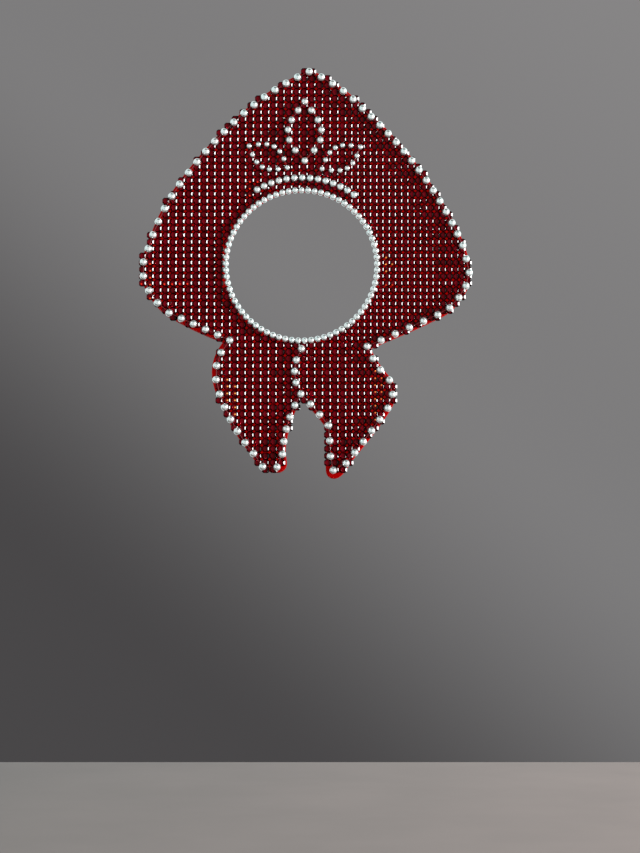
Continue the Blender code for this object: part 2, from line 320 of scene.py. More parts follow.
def boardPiece(name, outer, holeRadius, back, front, rounding, pitch, relief=None):
    # A flat board with a round hole: two rounded bands and a net of triangles on each face,
    # the back one swelling by the relief
    hole = circle(holeRadius, round(math.pi * holeRadius / plan["lineStep"]))
    bands = [edgeBand(outer, leftNormals(outer), back, front, rounding),
             edgeBand(hole, -leftNormals(hole), back, front, rounding)]
    parts, groups, count = [], [], 0
    for band in bands:
        parts.append(band.reshape(-1, 3))
        groups.append(grid(band.shape[0], band.shape[1], count))
        count += len(parts[-1])
    for row, level in ((0, front), (-1, back)):
        flat, triangles = flatNet(bands[0][row][:, (0, 2)], bands[1][row][:, (0, 2)], pitch)
        depth = np.full(len(flat), level)
        if relief and level == back:
            depth = depth + relief(flat, outer, hole)
        parts.append(np.stack((flat[:, 0], depth, flat[:, 1]), axis=1))
        groups.append(triangles + count)
        count += len(flat)
    piece = makePiece(name, np.concatenate(parts), groups, True)
    weld(piece, net["weld"])
    piece.data.set_sharp_from_angle(angle=math.radians(net["sharpAngle"]))
    return piece


# Shader nodes


def addNode(tree, kind, values=None, **settings):
    # A node with its properties set, and the values of its input sockets
    node = tree.nodes.new(kind)
    for key, value in settings.items():
        setattr(node, key, value)
    for key, value in (values or {}).items():
        node.inputs[key].default_value = value
    return node


def wire(tree, *rows):
    # Links from an output to an input, each given as node and socket, node and socket
    for source, output, target, entry in rows:
        tree.links.new(source.outputs[output], target.inputs[entry])


def newGroup(name, inputs, outputs):
    # A node group with its sockets, and its two end nodes
    group = bpy.data.node_groups.new(name, "ShaderNodeTree")
    for label, kind, value in inputs:
        socket = group.interface.new_socket(name=label, in_out="INPUT", socket_type=kind)
        if value is not None:
            socket.default_value = value
    for label, kind in outputs:
        group.interface.new_socket(name=label, in_out="OUTPUT", socket_type=kind)
    entry = group.nodes.new("NodeGroupInput")
    leave = group.nodes.new("NodeGroupOutput")
    return group, entry, leave


def makeMottleGroup():
    # Two colours mixed by soft patches, as dye takes unevenly
    group, entry, leave = newGroup("unevenDye", (
        ("Place", "NodeSocketVector", None),
        ("Patches per Metre", "NodeSocketFloat", 200.0),
        ("Deep", "NodeSocketColor", (0.3, 0.0, 0.0, 1.0)),
        ("Light", "NodeSocketColor", (0.5, 0.0, 0.0, 1.0)),
    ), (("Color", "NodeSocketColor"),))
    noise = addNode(group, "ShaderNodeTexNoise", {"Detail": 4.0, "Roughness": 0.6})
    spread = addNode(group, "ShaderNodeMapRange", {"From Min": 0.32, "From Max": 0.68})
    mix = addNode(group, "ShaderNodeMix", data_type="RGBA")
    wire(group,
         (entry, "Place", noise, "Vector"),
         (entry, "Patches per Metre", noise, "Scale"),
         (noise, "Fac", spread, "Value"),
         (spread, "Result", mix, "Factor"),
         (entry, "Deep", mix, "A"),
         (entry, "Light", mix, "B"),
         (mix, "Result", leave, "Color"))
    return group


def makeFibreGroup():
    # Height of matted fibres: three fine noises, each drawn out in its own direction
    group, entry, leave = newGroup("mattedFibres", (
        ("Place", "NodeSocketVector", None),
        ("Fibres per Metre", "NodeSocketFloat", 3000.0),
    ), (("Height", "NodeSocketFloat"),))
    fibres = []
    for turn in (0.3, 1.35, 2.4):
        lay = addNode(group, "ShaderNodeMapping", {"Rotation": (turn, turn * 0.7, turn),
                                                   "Scale": (1.0, 0.35, 0.12)})
        noise = addNode(group, "ShaderNodeTexNoise", {"Detail": 3.0, "Distortion": 0.6})
        wire(group,
             (entry, "Place", lay, "Vector"),
             (lay, "Vector", noise, "Vector"),
             (entry, "Fibres per Metre", noise, "Scale"))
        fibres.append(noise)
    first = addNode(group, "ShaderNodeMath", operation="MAXIMUM")
    second = addNode(group, "ShaderNodeMath", operation="MAXIMUM")
    wire(group,
         (fibres[0], "Fac", first, 0),
         (fibres[1], "Fac", first, 1),
         (first, 0, second, 0),
         (fibres[2], "Fac", second, 1),
         (second, 0, leave, "Height"))
    return group


def makeHandlingGroup():
    # Roughness between clean and fingered, in smears
    group, entry, leave = newGroup("handlingSmears", (
        ("Place", "NodeSocketVector", None),
        ("Smears per Metre", "NodeSocketFloat", 120.0),
        ("Clean", "NodeSocketFloat", 0.1),
        ("Smeared", "NodeSocketFloat", 0.3),
    ), (("Roughness", "NodeSocketFloat"),))
    noise = addNode(group, "ShaderNodeTexNoise", {"Detail": 5.0, "Roughness": 0.65,
                                                  "Distortion": 0.4})
    spread = addNode(group, "ShaderNodeMapRange", {"From Min": 0.45, "From Max": 0.75})
    mix = addNode(group, "ShaderNodeMix", data_type="FLOAT")
    wire(group,
         (entry, "Place", noise, "Vector"),
         (entry, "Smears per Metre", noise, "Scale"),
         (noise, "Fac", spread, "Value"),
         (spread, "Result", mix, "Factor"),
         (entry, "Clean", mix, "A"),
         (entry, "Smeared", mix, "B"),
         (mix, "Result", leave, "Roughness"))
    return group


unevenDye = makeMottleGroup()
mattedFibres = makeFibreGroup()
handlingSmears = makeHandlingGroup()


def newMaterial(name, settings):
    # A material whose settings stand on the shader's own sockets, and places on the object
    material = bpy.data.materials.new(name)
    material.use_nodes = True
    tree = material.node_tree
    shader = tree.nodes["Principled BSDF"]
    for key, value in settings.items():
        shader.inputs[key].default_value = value
    place = addNode(tree, "ShaderNodeTexCoord").outputs["Object"]
    return material, tree, shader, place


def useGroup(tree, group, place, values):
    # The group placed in a material with its own values
    node = tree.nodes.new("ShaderNodeGroup")
    node.node_tree = group
    for key, value in values.items():
        node.inputs[key].default_value = value
    tree.links.new(place, node.inputs["Place"])
    return node


# Felt board

felt = {
    "rounding": 0.0006,
    "pile": 0.0002,           # felt in front of the board, up to the stone bed
    "netPitch": 0.0022,
    "waveHeight": 0.00010,
    "waveFade": 0.004,
    # share of the height, turns along x and z in radians to the millimetre, and start
    "waves": ((0.5, 0.21, 0.17, 1.0), (0.5, 0.21, -0.17, 1.0),
              (0.6, 0.09, -0.13, 2.0), (0.35, 0.47, 0.39, 0.0)),
    "deep": (0.33, 0.001, 0.002, 1.0),
    "light": (0.50, 0.004, 0.005, 1.0),
}


def feltWaves(points, outer, hole):
    # A sum of low sine waves that dies away towards both edges
    x, z = points[:, 0] / millimetre, points[:, 1] / millimetre
    swell = sum(share * np.sin(x * alongX + z * alongZ + start)
                for share, alongX, alongZ, start in felt["waves"])
    room = np.minimum(lineDistance(points, outer), lineDistance(points, hole))
    fade = np.clip((room - felt["rounding"]) / felt["waveFade"], 0, 1)
    return swell * felt["waveHeight"] * fade


def feltMaterial():
    material, tree, shader, place = newMaterial("redFelt", {
        "Roughness": 0.92, "Specular IOR Level": 0.05, "Sheen Weight": 0.25,
        "Sheen Roughness": 0.5, "Sheen Tint": (1.0, 0.05, 0.04, 1.0)})
    dye = useGroup(tree, unevenDye, place, {
        "Patches per Metre": 260.0, "Deep": felt["deep"], "Light": felt["light"]})
    fibres = useGroup(tree, mattedFibres, place, {"Fibres per Metre": 5200.0})
    shade = addNode(tree, "ShaderNodeMapRange", {"From Min": 0.42, "From Max": 0.78,
                                                 "To Min": 0.62, "To Max": 1.25})
    tinted = addNode(tree, "ShaderNodeVectorMath", operation="SCALE")
    bump = addNode(tree, "ShaderNodeBump", {"Strength": 0.8, "Distance": 0.00020})
    wire(tree,
         (fibres, "Height", shade, "Value"),
         (dye, "Color", tinted, 0),
         (shade, "Result", tinted, "Scale"),
         (tinted, "Vector", shader, "Base Color"),
         (fibres, "Height", bump, "Height"),
         (bump, "Normal", shader, "Normal"))
    return material


openingCut = plan["openingRadius"] + plan["openingEase"]
feltBoard = boardPiece("feltBoard", boardEdge, openingCut, 0.0,
                       plan["boardFront"] - felt["pile"], felt["rounding"],
                       felt["netPitch"], feltWaves)
feltBoard.data.materials.append(feltMaterial())
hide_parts("base_plate")
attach(feltBoard, "root")
print("felt board:", len(feltBoard.data.polygons), "faces")

# Cut stones, and the bed that they sit in

stones = {
    "columnsLeft": (-0.02255, 0.002964),    # a column's x and the pitch of the wide sheet
    "columnsRight": (0.01867, 0.002400),
    "rows": (0.07014, 0.002655),            # row 0's z and the pitch of the rows
    "columnsTried": (-40, 41),              # numbers of the columns and rows that are tried
    "rowsTried": (-2, 62),
    "halfWidthLeft": 0.00143,
    "halfWidthRight": 0.00118,
    "halfHeight": 0.00130,
    "cornerCut": 0.00060,
    "tableInsetLeft": 0.00060,
    "tableInsetRight": 0.00061,
    "crownRise": 0.00049,
    "back": -0.0034,          # sunk a little in the bed
    "cutReach": 0.0005,       # a cut stone's middle is at least this far past the opening
    "tilt": 0.5,              # degrees
    "twist": 1.1,             # degrees
    "shift": 0.00003,
    "seed": 11,
    "deep": (0.13, 0.0, 0.003, 1.0),
    "light": (0.25, 0.0, 0.008, 1.0),
    "paintedDarkFacet": (0.003, 0.0, 0.0001),           # painted shade: the colour that shows where a facet is painted dark, as if it turned the light away
    # painted light and shade: red light painted into each facet's colour as if it came back from
    # it, with the table's as 1: corner, right, corner, bottom, corner, left, corner, top
    "paintedFacetLights": (0.0, 0.0, 0.0, 1.7, 0.0, 0.6, 0.0, 1.7),
    "coatTable": 0.14,
    "coatRight": 1.0,
    # in half widths and half heights from a stone's middle: painted shade darkens the table from
    # the first x to the second, and along the height from the first z to the second
    "paintedEndShade": (-0.35, 0.5), "paintedEndShadeLevel": 0.15,
    "paintedRimShade": (0.74, 0.88),
    "paintedFlashReach": (0.14, 0.30),   # a painted flash is full up to the first and gone at the second
    "noPaintedFlash": 9.0,               # a place far off the stone
    "paintedFlashRed": (1.0, 0.035, 0.010, 1.0),
    "paintedFlashOrange": (1.0, 0.37, 0.075, 1.0),
    # patches of stones that carry a painted flash of reflected light, which glows: least and
    # greatest x, least and greatest z, the spot's place on the stone in half widths and half
    # heights, and its hue from red to orange
    "paintedFlashStreaks": (
        (-0.0630, -0.0570, -0.0080, -0.0055, -0.33, -0.27, 0.0),
        (-0.0540, -0.0420, -0.0080, -0.0055, -0.33, -0.27, 0.0),
        (-0.0600, -0.0570, -0.0135, 0.0020, 0.00, -0.45, 0.1),
        (-0.0300, -0.0270, -0.0530, -0.0425, 0.10, 0.00, 1.0),
        (-0.0270, -0.0240, -0.0580, -0.0455, 0.10, 0.00, 1.0),
        (0.0270, 0.0300, -0.0610, -0.0400, 0.00, 0.42, 0.6),
        (0.0302, 0.0325, -0.0530, -0.0400, 0.00, 0.42, 0.5),
        (0.0320, 0.0340, -0.0025, 0.0045, -0.50, -0.55, 0.8),
        (0.0320, 0.0365, -0.0075, -0.0060, -0.50, -0.55, 0.1),
        (0.0345, 0.0365, 0.0005, 0.0020, -0.50, -0.55, 0.8),
        (-0.0210, -0.0180, 0.0265, 0.0335, -0.25, -0.50, 0.0),
        (-0.0180, -0.0150, 0.0320, 0.0340, -0.25, -0.50, 0.0),
    ),
}


def cutCorners(halfWidth, halfHeight, cut, inset):
    # Eight corners of a rectangle with its corners cut, drawn in by the inset on every side
    a, b = halfWidth - inset, halfHeight - inset
    c = cut - inset * (2 - math.sqrt(2))
    return np.array(((a - c, b), (a, b - c), (a, c - b), (a - c, -b),
                     (c - a, -b), (-a, c - b), (-a, b - c), (c - a, b)))


def stoneShape(halfWidth, tableInset):
    # Three levels of eight corners: back, girdle and the drawn-in table
    front = plan["stoneFront"]
    levels = ((stones["back"], 0.0), (front + stones["crownRise"], 0.0), (front, tableInset))
    points = []
    for depth, inset in levels:
        flat = cutCorners(halfWidth, stones["halfHeight"], stones["cornerCut"], inset)
        points.append(np.column_stack((flat[:, 0], np.full(len(flat), depth - front),
                                       flat[:, 1])))
    sides = grid(len(levels), len(flat))[:, ::-1]
    corner = np.arange(len(flat))
    caps = np.stack((corner, (len(levels) - 1) * len(flat) + corner[::-1]))
    return np.concatenate(points), [sides, caps]


def stonePlaces(first, pitch, keepX):
    # Grid places over the board: whole stones past the pearl line, cut ones at the opening
    columns = first + pitch * np.arange(*stones["columnsTried"])
    rows = stones["rows"][0] - stones["rows"][1] * np.arange(*stones["rowsTried"])
    x, z = np.meshgrid(columns, rows)
    places = np.stack((x.ravel(), z.ravel()), axis=1)
    clear = np.hypot(*places.T) > openingCut + stones["cutReach"]
    places = places[clear & keepX(places[:, 0])]
    near = lineDistance(places, pearlLine) < plan["stoneReach"]
    return places[insideLine(places, pearlLine) | near]


def cutAtOpening(points):
    # Points over the opening carried straight out to its rim
    radius = np.hypot(points[:, 0], points[:, 2])
    points[:, ::2] *= np.maximum(1, openingCut / radius)[:, None]


def stoneTurns(count, random):
    # Small tilts about X and Z and a small twist in the plane, to first order
    tilt = np.radians(stones["tilt"]) * random.standard_normal((count, 2))
    twist = np.radians(stones["twist"]) * random.standard_normal(count)
    turns = np.tile(np.eye(3), (count, 1, 1))
    turns[:, 0, 1] = -tilt[:, 0]
    turns[:, 1, 0] = tilt[:, 0]
    turns[:, 2, 1] = tilt[:, 1]
    turns[:, 1, 2] = -tilt[:, 1]
    turns[:, 0, 2] = twist
    turns[:, 2, 0] = -twist
    return turns


def stoneMaterial():
    # Painted flashes of reflected light glow through the emission, though the stones are no lamp
    material, tree, shader, place = newMaterial("redStones", {
        "Metallic": 0.5, "Coat Roughness": 0.03, "Specular IOR Level": 0.0,
        "Emission Strength": 0.35})
    local, light, gloss, paintedFlashSpot, paintedFlashHue = (
        addNode(tree, "ShaderNodeAttribute", attribute_name=name)
        for name in ("stonePlace", "paintedFacetLight", "facetCoat", "paintedFlashSpot", "paintedFlashHue"))
    parts = addNode(tree, "ShaderNodeSeparateXYZ")
    tone = addNode(tree, "ShaderNodeMix", {"A": stones["deep"], "B": stones["light"]},
                   data_type="RGBA")
    # Painted shade: darker towards the right end of the table and in the last of the height
    paintedEndDarkening = addNode(tree, "ShaderNodeMapRange", {
        "From Min": stones["paintedEndShade"][0], "From Max": stones["paintedEndShade"][1],
        "To Min": 1.0, "To Max": stones["paintedEndShadeLevel"]})
    height = addNode(tree, "ShaderNodeMath", operation="ABSOLUTE")
    paintedRimDarkening = addNode(tree, "ShaderNodeMapRange", {
        "From Min": stones["paintedRimShade"][0], "From Max": stones["paintedRimShade"][1],
        "To Min": 1.0, "To Max": 0.0})
    both = addNode(tree, "ShaderNodeMath", operation="MULTIPLY")
    # Each facet's colour is scaled by the light painted for it, so its lit and shaded look is
    # painted
    paintedFacetShade = addNode(tree, "ShaderNodeMath", operation="MULTIPLY")
    shown = addNode(tree, "ShaderNodeVectorMath", operation="SCALE")
    facets = addNode(tree, "ShaderNodeVectorMath", {1: stones["paintedDarkFacet"]}, operation="ADD")
    # A painted flash of reflected light is a small round spot on the stone, which also glows
    # through the emission
    spot = addNode(tree, "ShaderNodeVectorMath", operation="DISTANCE")
    flat = addNode(tree, "ShaderNodeVectorMath", {1: (1.0, 1.0, 0.0)}, operation="MULTIPLY")
    near = addNode(tree, "ShaderNodeMapRange", {
        "From Min": stones["paintedFlashReach"][0], "From Max": stones["paintedFlashReach"][1],
        "To Min": 1.0, "To Max": 0.0})
    hue = addNode(tree, "ShaderNodeMix", {
        "A": stones["paintedFlashRed"], "B": stones["paintedFlashOrange"]}, data_type="RGBA")
    withPaintedFlash = addNode(tree, "ShaderNodeMix", data_type="RGBA")
    paintedGlow = addNode(tree, "ShaderNodeVectorMath", operation="SCALE")
    smears = useGroup(tree, handlingSmears, place, {
        "Smears per Metre": 90.0, "Clean": 0.12, "Smeared": 0.26})
    wire(tree,
         (local, "Vector", parts, "Vector"),
         (parts, "Z", tone, "Factor"),
         (parts, "X", paintedEndDarkening, "Value"),
         (parts, "Y", height, 0),
         (height, "Value", paintedRimDarkening, "Value"),
         (paintedEndDarkening, "Result", both, 0),
         (paintedRimDarkening, "Result", both, 1),
         (both, "Value", paintedFacetShade, 0),
         (light, "Fac", paintedFacetShade, 1),
         (tone, "Result", shown, 0),
         (paintedFacetShade, "Value", shown, "Scale"),
         (shown, "Vector", facets, 0),
         (local, "Vector", flat, 0),
         (flat, "Vector", spot, 0),
         (paintedFlashSpot, "Vector", spot, 1),
         (spot, "Value", near, "Value"),
         (paintedFlashHue, "Fac", hue, "Factor"),
         (facets, "Vector", withPaintedFlash, "A"),
         (hue, "Result", withPaintedFlash, "B"),
         (near, "Result", withPaintedFlash, "Factor"),
         (withPaintedFlash, "Result", shader, "Base Color"),
         (hue, "Result", paintedGlow, 0),
         (near, "Result", paintedGlow, "Scale"),
         (paintedGlow, "Vector", shader, "Emission Color"),
         (gloss, "Fac", shader, "Coat Weight"),
         (smears, "Roughness", shader, "Roughness"))
    return material


bed = {
    "sink": 0.00008,          # its back, behind the stone sheets' solids
    "front": -0.00372,
    "rounding": 0.00025,
    "netPitch": 0.004,
    "deep": (0.33, 0.0, 0.0, 1.0),
    "light": (0.48, 0.0, 0.0, 1.0),
}


def bedMaterial():
    material, tree, shader, place = newMaterial("redBed", {"Specular IOR Level": 0.02})
    dye = useGroup(tree, unevenDye, place, {
        "Patches per Metre": 420.0, "Deep": bed["deep"], "Light": bed["light"]})
    smears = useGroup(tree, handlingSmears, place, {
        "Smears per Metre": 300.0, "Clean": 0.3, "Smeared": 0.55})
    wire(tree,
         (dye, "Color", shader, "Base Color"),
         (smears, "Roughness", shader, "Roughness"))
    return material


def makeStones(name, node, side, keepX, material, random):
    # One stone laid at every place of its sheet, each with a small turn and shift of its own
    halfWidth = stones["halfWidth" + side]
    places = stonePlaces(*stones["columns" + side], keepX)
    count = len(places)
    shift = stones["shift"] * random.standard_normal((count, 2))
    centres = np.stack((places[:, 0] + shift[:, 0], np.full(count, plan["stoneFront"]),
                        places[:, 1] + shift[:, 1]), axis=1)
    shape, faces = stoneShape(halfWidth, stones["tableInset" + side])
    points, groups = copies(shape, faces, stoneTurns(count, random), centres)
    cutAtOpening(points)
    piece = makePiece(name, points, groups, False)
    local = np.tile(shape[:, (0, 2)] / (halfWidth, stones["halfHeight"]), (count, 1))
    tone = np.repeat(random.random(count), len(shape))
    storeValues(piece, "stonePlace", "FLOAT_VECTOR", "POINT", np.column_stack((local, tone)))
    # The walls and the facets of each stone in turn, then the back and table of each; the walls
    # get no painted light, so they show only the painted dark colour
    walls = np.zeros(len(stones["paintedFacetLights"]))
    sides = np.concatenate((walls, stones["paintedFacetLights"]))
    light = np.concatenate((np.tile(sides, count), np.ones(2 * count)))
    coat = np.full(len(light), stones["coatTable"])
    rightFacet = len(walls) + 1
    coat[rightFacet:len(sides) * count:len(sides)] = stones["coatRight"]
    storeValues(piece, "paintedFacetLight", "FLOAT", "FACE", light)
    storeValues(piece, "facetCoat", "FLOAT", "FACE", coat)
    # Painted flashes of reflected light, set stone by stone in the given patches
    spots = np.full((count, 3), stones["noPaintedFlash"])
    hues = np.zeros(count)
    for lowX, highX, lowZ, highZ, spotX, spotZ, hue in stones["paintedFlashStreaks"]:
        inside = ((places[:, 0] > lowX) & (places[:, 0] < highX)
                  & (places[:, 1] > lowZ) & (places[:, 1] < highZ))
        spots[inside] = (spotX, spotZ, 0.0)
        hues[inside] = hue
    storeValues(piece, "paintedFlashSpot", "FLOAT_VECTOR", "POINT", np.repeat(spots, len(shape), axis=0))
    storeValues(piece, "paintedFlashHue", "FLOAT", "POINT", np.repeat(hues, len(shape)))
    piece.data.materials.append(material)
    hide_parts(node)
    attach(piece, "root")
    print(name + ":", count, "stones")


random = np.random.default_rng(stones["seed"])
redStones = stoneMaterial()
seamX = plan["seam"]
makeStones("leftStones", "stone_sheet_left", "Left", lambda x: x < seamX, redStones, random)
makeStones("rightStones", "stone_sheet_right", "Right", lambda x: x > seamX, redStones, random)

stoneBed = boardPiece("stoneBed", bedEdge, openingCut, plan["bedBack"] + bed["sink"],
                      bed["front"], bed["rounding"], bed["netPitch"])
stoneBed.data.materials.append(bedMaterial())
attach(stoneBed, "root")
print("stone bed:", len(stoneBed.data.polygons), "faces")

# Pearls on their threads

pearls = {
    # diameters
    "border": 0.0030, "ring": 0.0025, "crown": 0.0028, "leaf": 0.0021,
    "sides": 14,
    "polar": (30.0, 60.0, 90.0),  # degrees from the top of the dome to each row of points
    "foot": 0.94,                 # width of the flat back
    "threadDiameter": 0.00028,
    "threadLift": 0.0002,
    "threadSides": 6,
    "threadStep": 0.0008,
    "sharpAngle": 65,             # degrees
    "arcClearance": 0.00215, "arcFrom": -30.3, "arcTo": 36.4, "arcGap": 0.00023,
    "axisX": 0.0012,              # the crown stands a little right of the opening's middle
    "dropClearance": 0.0038, "dropHeadroom": 0.0116, "dropHalfWidth": 0.0065,
    "dropGather": 1.06,           # over 1, so its pearls lie closer towards the tip
    "dropSag": 1.145,             # over 1, so its widest place is below the middle
    "leafClearance": 0.00185, "leafSpread": 0.0067, "leafLength": 0.0170,
    "leafLean": 29.7, "leafHalfWidth": 0.0046,
    "loopSteps": 6,
    "partingPitch": 0.0044, "partingBow": 0.15, "seatGap": 0.0003,
    "nacreDeep": (0.78, 0.88, 0.87, 1.0),
    "nacreLight": (0.96, 0.93, 0.94, 1.0),
    "coolHue": (0.95, 1.0, 1.0, 1.0),
    "warmHue": (1.0, 0.98, 0.97, 1.0),
    "redThread": ((0.10, 0.0, 0.004, 1.0), (0.22, 0.003, 0.008, 1.0)),
    "paleThread": ((0.30, 0.40, 0.38, 1.0), (0.55, 0.62, 0.60, 1.0)),
    "seed": 5,
}


def pearlShape():
    # A unit dome in rows from its pole to its rim, with a drawn-in flat back a little behind
    count = pearls["sides"]
    angle = np.arange(count) * 2 * math.pi / count
    polar = np.radians(pearls["polar"])[:, None]
    rows = np.stack((np.sin(polar) * np.cos(angle), -np.cos(polar) + 0 * angle,
                     np.sin(polar) * np.sin(angle)), axis=-1)
    foot = np.stack((pearls["foot"] * np.cos(angle), np.full(count, 1.0),
                     pearls["foot"] * np.sin(angle)), axis=-1)
    points = np.vstack(((0.0, -1.0, 0.0), rows.reshape(-1, 3), foot))
    ring = 1 + np.arange(count)
    pole = np.stack((np.zeros(count, int), ring, 1 + (np.arange(count) + 1) % count), axis=1)
    sides = grid(len(polar) + 1, count, 1)
    back = (1 + len(polar) * count + np.arange(count))[None, :]
    return points, [pole, sides[:, ::-1], back]


def threadAlong(places, closed, depth):
    # A round profile carried along the path, with a flat end on an open one
    if closed:
        places = evenSteps(places, pearls["threadStep"])
        normal = leftNormals(places)
    else:
        way = np.gradient(places, axis=0)
        normal = np.stack((-way[:, 1], way[:, 0]), axis=1) / np.hypot(*way.T)[:, None]
    sides = pearls["threadSides"]
    angle = np.arange(sides) * 2 * math.pi / sides
    radius = pearls["threadDiameter"] / 2
    flat = places[:, None] + radius * np.cos(angle)[None, :, None] * normal[:, None]
    points = np.empty((len(places), sides, 3))
    points[..., 0] = flat[..., 0]
    points[..., 1] = depth + radius * np.sin(angle)
    points[..., 2] = flat[..., 1]
    quads = grid(len(places), sides)
    if closed:
        last = (len(places) - 1) * sides + np.arange(sides)
        first = np.arange(sides)
        around = np.stack((last, np.roll(last, -1), np.roll(first, -1), first), axis=1)
        return points.reshape(-1, 3), [np.vstack((quads, around))]
    caps = np.stack((np.arange(sides), (len(places) - 1) * sides + np.arange(sides)[::-1]))
    return points.reshape(-1, 3), [quads, caps]


def pearlMaterial():
    material, tree, shader, place = newMaterial("pearlLustre", {
        "Metallic": 0.72, "Coat Weight": 0.8, "Coat Roughness": 0.05})
    nacre = useGroup(tree, unevenDye, place, {
        "Patches per Metre": 900.0, "Deep": pearls["nacreDeep"],
        "Light": pearls["nacreLight"]})
    smears = useGroup(tree, handlingSmears, place, {
        "Smears per Metre": 500.0, "Clean": 0.06, "Smeared": 0.13})
    hue = addNode(tree, "ShaderNodeAttribute", attribute_name="pearlHue")
    tint = addNode(tree, "ShaderNodeMix", {"Factor": 1.0}, data_type="RGBA",
                   blend_type="MULTIPLY")
    spread = addNode(tree, "ShaderNodeMix", {
        "A": pearls["coolHue"], "B": pearls["warmHue"]}, data_type="RGBA")
    wire(tree,
         (hue, "Fac", spread, "Factor"),
         (nacre, "Color", tint, "A"),
         (spread, "Result", tint, "B"),
         (tint, "Result", shader, "Base Color"),
         (smears, "Roughness", shader, "Roughness"))
    return material


def threadMaterial(name, deep, light):
    material, tree, shader, place = newMaterial(name, {"Roughness": 0.6})
    dye = useGroup(tree, unevenDye, place, {
        "Patches per Metre": 900.0, "Deep": deep, "Light": light})
    fibres = useGroup(tree, mattedFibres, place, {"Fibres per Metre": 9000.0})
    bump = addNode(tree, "ShaderNodeBump", {"Strength": 0.5, "Distance": 0.00004})
    wire(tree,
         (dye, "Color", shader, "Base Color"),
         (fibres, "Height", bump, "Height"),
         (bump, "Normal", shader, "Normal"))
    return material


pearlLustre = pearlMaterial()
redThread = threadMaterial("redThread", *pearls["redThread"])
paleThread = threadMaterial("paleThread", *pearls["paleThread"])


def makeString(name, node, places, diameter, closed, thread, random):
    # Domes on their flat backs along the path, each with its own turn and hue
    count = len(places)
    shape, faces = pearlShape()
    radius = diameter / 2
    shape = shape * radius
    shape[-pearls["sides"]:, 1] = plan["stoneFront"] - plan["pearlBack"]
    angle = random.random(count) * 2 * math.pi
    turns = np.zeros((count, 3, 3))
    turns[:, 0, 0] = turns[:, 2, 2] = np.cos(angle)
    turns[:, 0, 2] = np.sin(angle)
    turns[:, 2, 0] = -np.sin(angle)
    turns[:, 1, 1] = 1
    centres = np.stack((places[:, 0], np.full(count, plan["pearlBack"]), places[:, 1]), axis=1)
    domes, domeGroups = copies(shape, faces, turns, centres)
    cord, cordGroups = threadAlong(places, closed, plan["pearlBack"] - pearls["threadLift"])
    groups = domeGroups + [group + len(domes) for group in cordGroups]
    piece = makePiece(name, np.concatenate((domes, cord)), groups, True)
    piece.data.materials.append(pearlLustre)
    piece.data.materials.append(thread)
    domeFaces = sum(len(group) for group in domeGroups)
    slots = np.zeros(len(piece.data.polygons), np.int32)
    slots[domeFaces:] = 1
    piece.data.polygons.foreach_set("material_index", slots)
    hue = np.concatenate((np.repeat(random.random(count), len(shape)), np.zeros(len(cord))))
    storeValues(piece, "pearlHue", "FLOAT", "POINT", hue)
    piece.data.set_sharp_from_angle(angle=math.radians(pearls["sharpAngle"]))
    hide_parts(node)
    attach(piece, "root")
    print(name + ":", count, "pearls")


def ringLoop():
    # As many pearls as fit on the circle: half the angle between two has the sine
    # pearl's radius / circle's radius
    radius = plan["openingRadius"] + pearls["ring"] / 2
    return circle(radius, round(math.pi / math.asin(pearls["ring"] / (2 * radius))))


arcRadius = (plan["openingRadius"] + pearls["ring"] + pearls["arcClearance"]
             + pearls["crown"] / 2)


def arcPlaces():
    # Even angles on an arc, a pearl and a gap apart
    sweep = math.radians(pearls["arcTo"] - pearls["arcFrom"])
    steps = round(sweep * arcRadius / (pearls["crown"] + pearls["arcGap"]))
    angle = math.radians(pearls["arcFrom"]) + sweep * np.arange(steps + 1) / steps
    return arcRadius * np.stack((np.sin(angle), np.cos(angle)), axis=1)


def tipToBaseLoop(tip, base, halfWidth, gather=1.0, sag=1.0):
    # From tip to base and back, off the axis to either side by a half sine wave. The share of
    # the way is raised to gather for the place along the axis, and to sag for the wave
    axis = base - tip
    across = np.array((-axis[1], axis[0])) / np.hypot(*axis) * halfWidth
    share = np.arange(pearls["loopSteps"] + 1)[:, None] / pearls["loopSteps"]
    middle = tip + axis * share ** gather
    side = across * np.sin(math.pi * share ** sag)
    return np.vstack(((middle + side)[:-1], (middle - side)[:0:-1]))


def dropLoop():
    # Upright, between the band and the peak
    base = np.array((pearls["axisX"], arcRadius + pearls["crown"] + pearls["dropClearance"]))
    tip = np.array((pearls["axisX"], plan["crownRise"] - pearls["dropHeadroom"]))
    return tipToBaseLoop(tip, base, pearls["dropHalfWidth"], pearls["dropGather"],
                         pearls["dropSag"])


def sideLeafLoop(side):
    # Leaning outwards from a base just over the band
    baseRadius = arcRadius + (pearls["crown"] + pearls["leaf"]) / 2 + pearls["leafClearance"]
    baseX = pearls["axisX"] + side * pearls["leafSpread"]
    base = np.array((baseX, math.sqrt(baseRadius ** 2 - baseX ** 2)))
    lean = math.radians(pearls["leafLean"])
    tip = base + np.array((side * math.cos(lean), math.sin(lean))) * pearls["leafLength"]
    return tipToBaseLoop(tip, base, pearls["leafHalfWidth"])


def partingPlaces():
    # Bowed, from under the ring to the top of the gap between the tails
    top = -(plan["openingRadius"] + pearls["ring"] + pearls["seatGap"] + pearls["border"] / 2)
    row = plan["stretches"][plan["partingRow"]]
    start, end = np.array((0.0, top)), sharePoint(row[0], row[1])
    steps = max(2, round(float(np.hypot(*(end - start))) / pearls["partingPitch"]))
    return bowed(start, end, -pearls["partingBow"], steps)


